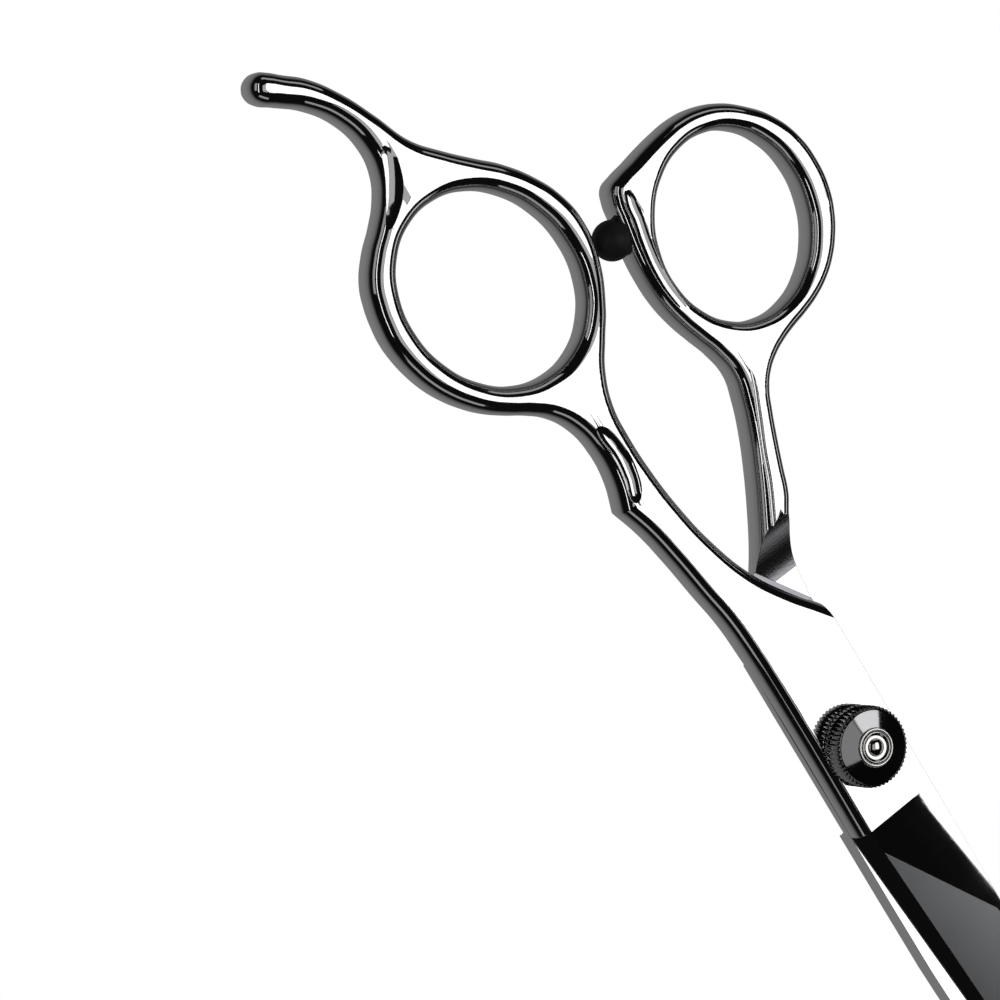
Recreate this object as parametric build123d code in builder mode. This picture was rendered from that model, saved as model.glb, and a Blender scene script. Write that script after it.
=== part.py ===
"""Hair cutting shears with a finger rest, a rubber bumper and a knurled tension knob.

Frame: origin on the pivot axis at the height of the surface that the shears lie on,
+X towards the blade tips, +Y towards the thumb ring, +Z up along the pivot axis.
All lengths are in millimetres.
"""
import os
from math import sqrt

from build123d import *

os.makedirs("parts", exist_ok=True)

# ---- driving dimensions -------------------------------------------------------------
BLADE_T = 2.8            # thickness of each half at the pivot
HANDLE_DROP = 2.4        # how far each handle reaches past the parting plane
BLADE_GAP = 0.04         # slip gap between the two rides
SCREW_HEAD_T = 0.9
RIDE_HALF = 5.9          # half the width of the flat ride at the pivot
RICASSO_X = 9.8          # where the ground blade begins
TIP_X = 77.0             # pivot to blade tip
TIP_R = 0.5
EDGE_ROUND = 1.2         # rounding of the long edges
CUT_REACH = 120.0        # size of a cutting tool that clears everything

HANDLE_T = BLADE_T + HANDLE_DROP
PARTING_Z = SCREW_HEAD_T + BLADE_T
FACE_Z = PARTING_Z + BLADE_T              # outer face of the finger half
FINGER_BASE_Z = PARTING_Z - HANDLE_DROP   # underside of the finger handle
THUMB_BASE_Z = SCREW_HEAD_T               # underside of the thumb half
THUMB_TOP_Z = PARTING_Z + HANDLE_DROP
UPPER_RIDE_Z = PARTING_Z + BLADE_GAP / 2
LOWER_RIDE_Z = PARTING_Z - BLADE_GAP / 2

# finger ring and thumb ring openings: centre, half axes, turn of the long axis
FINGER_RING = (-72.3, -9.9)
FINGER_HOLE = (12.6, 10.75)
FINGER_TURN = 22.0
THUMB_RING = (-61.2, 21.4)
THUMB_HOLE = (11.6, 10.35)
THUMB_TURN = -15.0

# pivot hardware: radii, then heights above the outer face of the finger half
FIT = 0.04               # radial clearance of the running fits
HEAD_R = 4.2
NECK_R = 2.6
NECK_FLAT = 2.1          # from the axis to each flat of the neck
SHANK_R = 2.0
THREAD_R = 1.75
BUSH_R = 2.8
RIDE_WASHER_R = 4.6
RIDE_WASHER_T = 0.3
WASHER_PLAY = 0.01       # air above and below the ride washer
STACK_R = 4.2            # washer and click plate under the knob
FRICTION_T = 0.3
PLATE_T = 0.4
KNOB_R = 5.0
KNOB_RECESS_R = 4.4
KNOB_LIFT = 0.15         # skirt of the knob above the blade face
KNOB_WEB = 1.4           # underside of the knob's web
KNOB_TOP = 3.55          # rim of the knob
KNOB_CROWN = 4.52        # apex of the knob's conical top
KNURLS = 54
KNURL_R = 0.2
INSERT_R = 2.35
INSERT_TOP = 4.3
SEAT_TOP = 3.75          # top of the pivot screw, seat of the end screw
END_HEAD_R = 2.05
END_SHANK_R = 0.8
DETENTS = 24
DETENT_RING_R = 3.75
BALL_R = 0.5
THREAD_FLAT_W = 4.0      # flat on the threaded end that keys the click plate
THREAD_FLAT_DEPTH = 0.25
END_SHANK_L = 2.4        # length of the end screw below its head
BALL_POCKET = 1.3        # depth of the ball pockets above the web

# rubber bumper on the thumb ring
BUMPER_R = 2.5
BUMPER_AT = (-68.1, 7.3)
BUMPER_STEM_R = 1.0
BUMPER_STEM = 4.4        # from the middle of the ball

UP = (Align.CENTER, Align.CENTER, Align.MIN)
DOWN = (Align.CENTER, Align.CENTER, Align.MAX)


def save(piece, name):
    """Name a finished piece and write its file."""
    piece.label = name
    export_step(piece, f"parts/{name}.step")
    print(name, len(piece.solids()), round(piece.volume, 3))


def level_edges(piece):
    """The edges of a plate's two flat faces."""
    return piece.edges().filter_by(lambda e: e.bounding_box().size.Z < 1e-6)


def grinding_plane(a, b, c):
    """Plane through three points of a ground facet, facing up."""
    normal = (Vector(*b) - Vector(*a)).cross(Vector(*c) - Vector(*a)).normalized()
    if normal.Z < 0:
        normal = -normal
    return Plane(origin=a, z_dir=normal)


# ---- ground blade, as the finger half carries it ------------------------------------
EDGE_START = (RICASSO_X, -RIDE_HALF)
EDGE_END = (TIP_X - TIP_R, -TIP_R)
HONED_T = 0.12           # thickness left at the cutting edge
RICASSO_EDGE_T = 1.1     # blade thickness beside the ricasso, before honing
TIP_T = 0.5
FLAT_START = (RICASSO_X, 3.0)      # where the flat band along the spine begins
FLAT_END = (28.1, 4.9)
RIDGE_END_T = BLADE_T    # the ridge runs out at the flat band

with BuildPart() as upper_blade:
    with BuildSketch(Plane.XY.offset(UPPER_RIDE_Z)):
        with BuildLine():
            Line(EDGE_END, EDGE_START)
            Line(EDGE_START, (RICASSO_X, RIDE_HALF))
            Spline((RICASSO_X, RIDE_HALF), (30.0, 5.85), (55.0, 3.6), (TIP_X - TIP_R, TIP_R),
                   tangents=((1, 0), (1, -0.16)))
            ThreePointArc((TIP_X - TIP_R, TIP_R), (TIP_X, 0), EDGE_END)
        make_face()
    extrude(amount=BLADE_T - BLADE_GAP / 2)
    # hollow facet from the flat band down to the edge
    split(bisect_by=grinding_plane((*FLAT_START, FACE_Z), (*FLAT_END, FACE_Z),
                                   (*EDGE_START, PARTING_Z + RICASSO_EDGE_T)), keep=Keep.BOTTOM)
    # main bevel that thins the blade towards the tip
    split(bisect_by=grinding_plane((*EDGE_START, PARTING_Z + RICASSO_EDGE_T),
                                   (*FLAT_END, PARTING_Z + RIDGE_END_T),
                                   (*EDGE_END, PARTING_Z + TIP_T)), keep=Keep.BOTTOM)
    # honed edge, about 35 degrees
    split(bisect_by=grinding_plane((*EDGE_START, PARTING_Z + HONED_T),
                                   (*EDGE_END, PARTING_Z + HONED_T),
                                   (RICASSO_X, 1 - RIDE_HALF, PARTING_Z + HONED_T + 0.7)),
          keep=Keep.BOTTOM)

# the thumb half carries the same blade, turned over about the long axis
lower_blade = upper_blade.part.rotate(Axis((0, 0, PARTING_Z), (1, 0, 0)), 180)

# ---- finger half --------------------------------------------------------------------
KNUCKLE = (-41.0, -10.6)
FRONT_CORNER = (-17.0, RIDE_HALF)    # where the shank's inner side meets the ride
REST_TIP = Vector(-106.6, -21.3)     # centre of the finger rest's round end
REST_TIP_R = 1.9
REST_DIR = Vector(-0.746, -0.666)    # way that the finger rest points
REST_SIDE = Vector(-0.666, 0.746)

# the thumb shank dives under the finger half along this line
DIVE_FROM = Vector(-27.5, 2.8)
DIVE_DIR = Vector(0.817, -0.576)
DIVE_SIDE = Vector(-0.576, -0.817)
DIVE_CLEAR = 0.5

with BuildPart() as finger_half:
    with BuildSketch(Plane.XY.offset(FINGER_BASE_Z)):
        with BuildLine():
            rest_end = ThreePointArc(
                REST_TIP + REST_SIDE * REST_TIP_R,
                REST_TIP + REST_DIR * REST_TIP_R,
                REST_TIP - REST_SIDE * REST_TIP_R)
            Spline(FRONT_CORNER, (-20.9, 2.8), (-25.6, -0.1), (-31.6, -2.3), (-37.4, -3.6),
                   (-42.9, -4.3), (-48.1, -4.5), (-52.2, -4.0), (-56.6, -2.4), (-62.0, 1.4),
                   (-67.2, 3.9), (-72.2, 4.8), (-76.8, 3.9), (-81.0, 1.6), (-86.2, -3.5),
                   (-91.8, -8.9), (-97.3, -11.5), (-102.8, -14.8), rest_end @ 0)
            Spline(rest_end @ 1, (-102.0, -18.6), (-98.6, -15.7), (-94.4, -14.5), (-89.9, -15.3),
                   (-86.0, -18.6), (-82.2, -22.4), (-77.6, -24.4), (-72.6, -24.6), (-67.4, -23.3),
                   (-62.9, -20.7), (-59.3, -16.9), (-56.2, -12.8), (-52.5, -10.0), (-48.6, -9.2),
                   (-44.6, -9.5), KNUCKLE)
            Spline(KNUCKLE, (-37.0, -9.3), (-32.3, -8.2), (-22.9, -6.5), (-14.0, -RIDE_HALF))
            Polyline((-14.0, -RIDE_HALF), (RICASSO_X, -RIDE_HALF), (RICASSO_X, RIDE_HALF),
                     FRONT_CORNER)
        make_face()
        with Locations(FINGER_RING):
            Ellipse(*FINGER_HOLE, rotation=FINGER_TURN, mode=Mode.SUBTRACT)
    extrude(amount=HANDLE_T)
    fillet(level_edges(finger_half).filter_by_position(Axis.X, -200, RICASSO_X - 1), EDGE_ROUND)
    # room under the shank for the thumb half
    with BuildSketch(Plane.XY.offset(FINGER_BASE_Z - 1)):
        with BuildLine():
            dive_top = DIVE_FROM + DIVE_SIDE * DIVE_CLEAR - DIVE_DIR * 8
            dive_low = DIVE_FROM + DIVE_SIDE * DIVE_CLEAR + DIVE_DIR * 20
            Polyline((dive_top.X, dive_top.Y), (dive_low.X, dive_low.Y), (CUT_REACH, dive_low.Y),
                     (CUT_REACH, dive_top.Y), close=True)
        make_face()
    extrude(amount=HANDLE_DROP + 1 + BLADE_GAP / 2, mode=Mode.SUBTRACT)
    add(upper_blade.part)
    # pivot hole for the bush and seat of the ride washer
    with Locations((0, 0, PARTING_Z)):
        Cylinder(BUSH_R, BLADE_T + 1, align=UP, mode=Mode.SUBTRACT)
        Cylinder(RIDE_WASHER_R + FIT, RIDE_WASHER_T / 2 + WASHER_PLAY, align=UP, mode=Mode.SUBTRACT)
save(finger_half.part, "finger_half")

# ---- thumb half ---------------------------------------------------------------------
STEP_R = 12.0            # hollow of the machined relief step
STEP_RUN = sqrt(2 * STEP_R * HANDLE_DROP - HANDLE_DROP ** 2)
STEP_FOOT_X = -21.6

# the thumb half stays clear of the finger half's front wall along this line
FRONT_FROM = Vector(-25.8, 0.3)
FRONT_DIR = Vector(0.823, 0.568)
FRONT_SIDE = Vector(0.568, -0.823)

with BuildPart() as thumb_half:
    with BuildSketch(Plane.XY.offset(THUMB_BASE_Z)):
        with BuildLine():
            Polyline((-15.6, -RIDE_HALF), (RICASSO_X, -RIDE_HALF), (RICASSO_X, RIDE_HALF),
                     (-18.0, RIDE_HALF))
            Spline((-18.0, RIDE_HALF), (-22.4, 6.4), (-28.0, 8.4), (-33.6, 11.1), (-39.6, 13.5),
                   (-43.7, 15.9), (-45.9, 19.6), (-47.1, 24.2), (-49.2, 29.0), (-52.6, 32.7),
                   (-57.0, 35.0), (-61.6, 35.7), (-66.2, 35.0), (-70.4, 32.7), (-73.6, 29.2),
                   (-75.5, 25.2), (-76.0, 21.0), (-75.4, 16.2), (-74.5, 11.4))
            ThreePointArc((-74.5, 11.4), (-73.8, 9.8), (-72.2, 9.0))
            Spline((-72.2, 9.0), (-65.4, 7.8), (-58.6, 7.8), (-52.1, 9.7), (-46.6, 11.3),
                   tangents=((1, -0.2), (1, 0)))
            Spline((-46.6, 11.3), (-39.5, 9.3), (-34.8, 7.1), (-27.2, 2.8), (-17.0, -4.6),
                   tangents=((1, 0), DIVE_DIR))
            Line((-17.0, -4.6), (-15.6, -RIDE_HALF))
        make_face()
        with Locations(THUMB_RING):
            Ellipse(*THUMB_HOLE, rotation=THUMB_TURN, mode=Mode.SUBTRACT)
    extrude(amount=HANDLE_T)
    fillet(level_edges(thumb_half).filter_by_position(Axis.X, -200, RICASSO_X - 1), EDGE_ROUND)
    # machined relief down to the ride
    with BuildSketch(Plane(origin=(STEP_FOOT_X, 0, LOWER_RIDE_Z), x_dir=(1, 0, 0), z_dir=(0, -1, 0))):
        with BuildLine():
            Polyline((0, 0), (CUT_REACH, 0), (CUT_REACH, 2 * HANDLE_DROP),
                     (-STEP_RUN, 2 * HANDLE_DROP), (-STEP_RUN, HANDLE_DROP))
            RadiusArc((-STEP_RUN, HANDLE_DROP), (0, 0), -STEP_R)
        make_face()
    extrude(amount=CUT_REACH / 2, both=True, mode=Mode.SUBTRACT)
    with BuildSketch(Plane.XY.offset(LOWER_RIDE_Z)):
        with BuildLine():
            front_low = FRONT_FROM - FRONT_DIR * 8
            front_high = FRONT_FROM + FRONT_DIR * 20
            clear_high = front_high + FRONT_SIDE * CUT_REACH
            clear_low = front_low + FRONT_SIDE * CUT_REACH
            Polyline((front_low.X, front_low.Y), (front_high.X, front_high.Y),
                     (clear_high.X, clear_high.Y), (clear_low.X, clear_low.Y), close=True)
        make_face()
    extrude(amount=2 * HANDLE_DROP, mode=Mode.SUBTRACT)
    add(lower_blade)
    # neck hole with two flats, washer seat and bumper pocket
    with BuildSketch(Plane.XY.offset(THUMB_BASE_Z)):
        Circle(NECK_R + FIT)
        Rectangle(3 * NECK_R, 2 * (NECK_FLAT + FIT), mode=Mode.INTERSECT)
    extrude(amount=BLADE_T, mode=Mode.SUBTRACT)
    with Locations((0, 0, PARTING_Z)):
        Cylinder(RIDE_WASHER_R + FIT, RIDE_WASHER_T / 2 + WASHER_PLAY, align=DOWN, mode=Mode.SUBTRACT)
    with Locations((*BUMPER_AT, PARTING_Z - 0.2)):
        Sphere(BUMPER_R + FIT, mode=Mode.SUBTRACT)
        Cylinder(BUMPER_STEM_R + FIT, BUMPER_STEM + FIT, rotation=(-90, 0, 0),
                 align=UP, mode=Mode.SUBTRACT)
save(thumb_half.part, "thumb_half")

# ---- rubber bumper ------------------------------------------------------------------
with BuildPart() as bumper:
    with Locations((*BUMPER_AT, PARTING_Z - 0.2)):
        Sphere(BUMPER_R)
        Cylinder(BUMPER_STEM_R, BUMPER_STEM, rotation=(-90, 0, 0),
                 align=UP)
save(bumper.part, "bumper")

# ---- pivot screw, turned with the thumb half by the flats of its neck ---------------
with BuildPart() as pivot_screw:
    Cylinder(HEAD_R, SCREW_HEAD_T, align=UP)
    chamfer(pivot_screw.edges().group_by(Axis.Z)[0], 0.35)
    with BuildSketch(Plane.XY.offset(SCREW_HEAD_T)):
        Circle(NECK_R)
        Rectangle(3 * NECK_R, 2 * NECK_FLAT, mode=Mode.INTERSECT)
    extrude(amount=BLADE_T - RIDE_WASHER_T)
    with BuildSketch(Plane.XY.offset(PARTING_Z - RIDE_WASHER_T)):
        Circle(SHANK_R)
    extrude(amount=BLADE_T + RIDE_WASHER_T + FRICTION_T)
    # threaded end with two flats for the click plate
    with BuildSketch(Plane.XY.offset(FACE_Z + FRICTION_T)):
        Circle(THREAD_R)
    extrude(amount=SEAT_TOP - FRICTION_T)
    with BuildSketch(Plane.XY.offset(FACE_Z + SEAT_TOP)):
        Circle(END_SHANK_R + FIT)
    extrude(amount=-END_SHANK_L - 0.2, mode=Mode.SUBTRACT)
    with Locations((0, THREAD_R, FACE_Z + FRICTION_T)):
        Box(THREAD_FLAT_W, 2 * THREAD_FLAT_DEPTH, PLATE_T, align=UP, mode=Mode.SUBTRACT)
save(pivot_screw.part, "pivot_screw")

# ---- bearing pieces -----------------------------------------------------------------
with BuildPart() as pivot_bush:
    with BuildSketch(Plane.XY.offset(PARTING_Z + RIDE_WASHER_T / 2 + WASHER_PLAY)):
        Circle(BUSH_R)
        Circle(SHANK_R + FIT, mode=Mode.SUBTRACT)
    extrude(amount=BLADE_T - RIDE_WASHER_T / 2 - WASHER_PLAY)
save(pivot_bush.part, "pivot_bush")

with BuildPart() as ride_washer:
    with BuildSketch(Plane.XY.offset(PARTING_Z - RIDE_WASHER_T / 2)):
        Circle(RIDE_WASHER_R)
        Circle(NECK_R + FIT, mode=Mode.SUBTRACT)
    extrude(amount=RIDE_WASHER_T)
save(ride_washer.part, "ride_washer")

with BuildPart() as friction_washer:
    with BuildSketch(Plane.XY.offset(FACE_Z)):
        Circle(STACK_R)
        Circle(SHANK_R + FIT, mode=Mode.SUBTRACT)
    extrude(amount=FRICTION_T)
save(friction_washer.part, "friction_washer")

PLATE_Z = FACE_Z + FRICTION_T + PLATE_T
with BuildPart() as click_plate:
    with BuildSketch(Plane.XY.offset(PLATE_Z - PLATE_T)):
        Circle(STACK_R)
        with BuildSketch(mode=Mode.PRIVATE) as keyed_hole:
            Circle(THREAD_R + FIT)
            with Locations((0, THREAD_R)):
                Rectangle(THREAD_FLAT_W, 2 * (THREAD_FLAT_DEPTH - FIT), mode=Mode.SUBTRACT)
        add(keyed_hole.sketch, mode=Mode.SUBTRACT)
    extrude(amount=PLATE_T)
    with BuildPart(mode=Mode.PRIVATE) as dimple:
        Sphere(BALL_R + 0.05)
    with Locations((0, 0, PLATE_Z + BALL_R)):
        with PolarLocations(DETENT_RING_R, DETENTS):
            add(dimple.part, mode=Mode.SUBTRACT)
save(click_plate.part, "click_plate")

with BuildPart() as disc_spring:
    with BuildSketch(Plane.XZ):
        with BuildLine():
            Polyline((2.0, FACE_Z + KNOB_WEB - 0.02), (2.3, FACE_Z + KNOB_WEB - 0.02),
                     (3.1, PLATE_Z + 0.02), (2.75, PLATE_Z + 0.02), close=True)
        make_face()
    revolve(axis=Axis.Z)
save(disc_spring.part, "disc_spring")

# ---- tension knob -------------------------------------------------------------------
with BuildPart() as tension_knob:
    with BuildSketch(Plane.XY.offset(FACE_Z + KNOB_LIFT)):
        Circle(KNOB_R)
        with PolarLocations(KNOB_R + 0.03, KNURLS):
            Circle(KNURL_R, mode=Mode.SUBTRACT)
    extrude(amount=KNOB_CROWN - KNOB_LIFT)
    # turned top: shallow cone with a chamfered rim
    with BuildSketch(Plane.XZ):
        with BuildLine():
            Polyline((0, FACE_Z), (KNOB_R - 0.25, FACE_Z), (KNOB_R + 0.05, FACE_Z + 0.3),
                     (KNOB_R + 0.05, FACE_Z + KNOB_TOP - 0.35),
                     (KNOB_R - 0.4, FACE_Z + KNOB_TOP), (0, FACE_Z + KNOB_CROWN), close=True)
        make_face()
    revolve(axis=Axis.Z, mode=Mode.INTERSECT)
    with BuildSketch(Plane.XY.offset(FACE_Z)):
        Circle(KNOB_RECESS_R)
    extrude(amount=KNOB_WEB, mode=Mode.SUBTRACT)
    with Locations((0, 0, FACE_Z)):
        Cylinder(INSERT_R, 6, align=UP, mode=Mode.SUBTRACT)
    # two blind pockets for the click balls
    with BuildSketch(Plane.XY.offset(FACE_Z)):
        with PolarLocations(DETENT_RING_R, 2):
            Circle(BALL_R + FIT)
    extrude(amount=KNOB_WEB + BALL_POCKET, mode=Mode.SUBTRACT)
save(tension_knob.part, "tension_knob")

with BuildPart() as knob_insert:
    with BuildSketch(Plane.XZ):
        with BuildLine():
            Polyline((THREAD_R + FIT, FACE_Z + KNOB_WEB), (INSERT_R, FACE_Z + KNOB_WEB),
                     (INSERT_R, FACE_Z + INSERT_TOP - 0.1), (INSERT_R - 0.08, FACE_Z + INSERT_TOP),
                     (END_HEAD_R + FIT, FACE_Z + INSERT_TOP), (END_HEAD_R + FIT, FACE_Z + SEAT_TOP),
                     (THREAD_R + FIT, FACE_Z + SEAT_TOP), close=True)
        make_face()
    revolve(axis=Axis.Z)
save(knob_insert.part, "knob_insert")

with BuildPart() as end_screw:
    with BuildSketch(Plane.XZ):
        with BuildLine():
            Polyline((0, FACE_Z + SEAT_TOP - END_SHANK_L), (END_SHANK_R, FACE_Z + SEAT_TOP - END_SHANK_L),
                     (END_SHANK_R, FACE_Z + SEAT_TOP), (END_HEAD_R, FACE_Z + SEAT_TOP),
                     (END_HEAD_R, FACE_Z + SEAT_TOP + 0.4), (1.75, FACE_Z + SEAT_TOP + 0.6),
                     (1.45, FACE_Z + SEAT_TOP + 0.4), (1.05, FACE_Z + SEAT_TOP + 0.4))
            RadiusArc((1.05, FACE_Z + SEAT_TOP + 0.4), (0, FACE_Z + SEAT_TOP + 0.85), -1.45)
            Line((0, FACE_Z + SEAT_TOP + 0.85), (0, FACE_Z + SEAT_TOP - END_SHANK_L))
        make_face()
    revolve(axis=Axis.Z)
save(end_screw.part, "end_screw")

# ---- click balls and their springs --------------------------------------------------
with BuildPart() as click_balls:
    with Locations((0, 0, PLATE_Z + BALL_R - 0.02)):
        with PolarLocations(DETENT_RING_R, 2):
            Sphere(BALL_R)
save(click_balls.part, "click_balls")

SPRING_Z = PLATE_Z + 2 * BALL_R
SPRING_TURNS = 3
SPRING_LENGTH = FACE_Z + KNOB_WEB + BALL_POCKET - SPRING_Z - 0.15
WIRE_R = 0.07
with BuildPart() as click_springs:
    with BuildLine(Plane.XY.offset(SPRING_Z + WIRE_R)) as coil:
        Helix(SPRING_LENGTH / SPRING_TURNS, SPRING_LENGTH - 2 * WIRE_R, BALL_R - 0.15)
    with BuildSketch(Plane(origin=coil.line @ 0, z_dir=coil.line % 0)):
        Circle(WIRE_R)
    sweep(is_frenet=True)
both_springs = PolarLocations(DETENT_RING_R, 2)
springs = Compound(children=[loc * click_springs.part for loc in both_springs])
save(springs, "click_springs")
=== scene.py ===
"""Looks of a pair of hair cutting shears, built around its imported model.

Every length in the classes is in millimetres and becomes metres when a mesh is made.
"""

import logging
import math
from dataclasses import dataclass
from enum import Enum

import bmesh
import bpy
from mathutils import Matrix, Vector


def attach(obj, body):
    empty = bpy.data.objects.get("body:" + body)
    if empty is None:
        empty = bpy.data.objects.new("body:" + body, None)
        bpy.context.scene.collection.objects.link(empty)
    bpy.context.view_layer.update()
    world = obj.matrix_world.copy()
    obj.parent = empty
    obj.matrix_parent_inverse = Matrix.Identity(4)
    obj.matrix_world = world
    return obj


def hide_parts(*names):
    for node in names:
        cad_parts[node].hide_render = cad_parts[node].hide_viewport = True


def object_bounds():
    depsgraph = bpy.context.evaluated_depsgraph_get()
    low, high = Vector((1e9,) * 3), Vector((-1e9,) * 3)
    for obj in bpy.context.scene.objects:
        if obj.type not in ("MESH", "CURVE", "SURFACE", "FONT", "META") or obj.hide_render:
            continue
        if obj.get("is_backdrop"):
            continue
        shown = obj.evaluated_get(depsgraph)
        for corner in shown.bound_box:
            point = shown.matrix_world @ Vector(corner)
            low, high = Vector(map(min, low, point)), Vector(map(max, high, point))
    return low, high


logging.basicConfig(level=logging.INFO, format="%(message)s")
LOG = logging.getLogger("shears")

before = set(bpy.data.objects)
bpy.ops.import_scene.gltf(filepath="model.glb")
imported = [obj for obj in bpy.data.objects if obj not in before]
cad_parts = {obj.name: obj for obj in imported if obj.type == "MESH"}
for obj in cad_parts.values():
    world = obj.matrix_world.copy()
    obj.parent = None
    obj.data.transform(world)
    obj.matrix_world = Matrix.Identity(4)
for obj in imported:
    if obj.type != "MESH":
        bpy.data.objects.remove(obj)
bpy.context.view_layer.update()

MM = 0.001
PARTING_Z = 3.7
BLADE_T = 2.8
FACE_Z = PARTING_Z + BLADE_T
FINGER_BASE_Z = 1.3
THUMB_BASE_Z = 0.9
HANDLE_T = 5.2
RIDE_HALF = 5.9
RIDE_END_X = 9.8
BLADE_GAP = 0.04
WEB_Z = FACE_Z + 1.4     # underside of the knob's web and of the insert in it
INSERT_R = 2.35
SEAT_R = 4.64            # of the washer seats in both halves
BUMPER_AT = (-68.1, 7.3, 3.5)
CUT_REACH = 60.0         # size of a cutter that clears the piece
CUT_TOP = 9.0            # height above both handles
WELD = 1e-7              # vertices closer than this, in metres, become one
Point = tuple[float, float]


class Slot(Enum):
    """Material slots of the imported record."""

    POLISHED = "polished_steel"
    SCREW = "screw_steel"
    CHROME = "dark_chrome"
    SPRING = "spring_steel"
    BRONZE = "bronze"
    PLASTIC = "slip_plastic"
    RUBBER = "black_rubber"


class Body(Enum):
    """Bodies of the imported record."""

    FINGER = "finger_side"
    THUMB = "thumb_side"
    KNOB = "knob"


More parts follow.
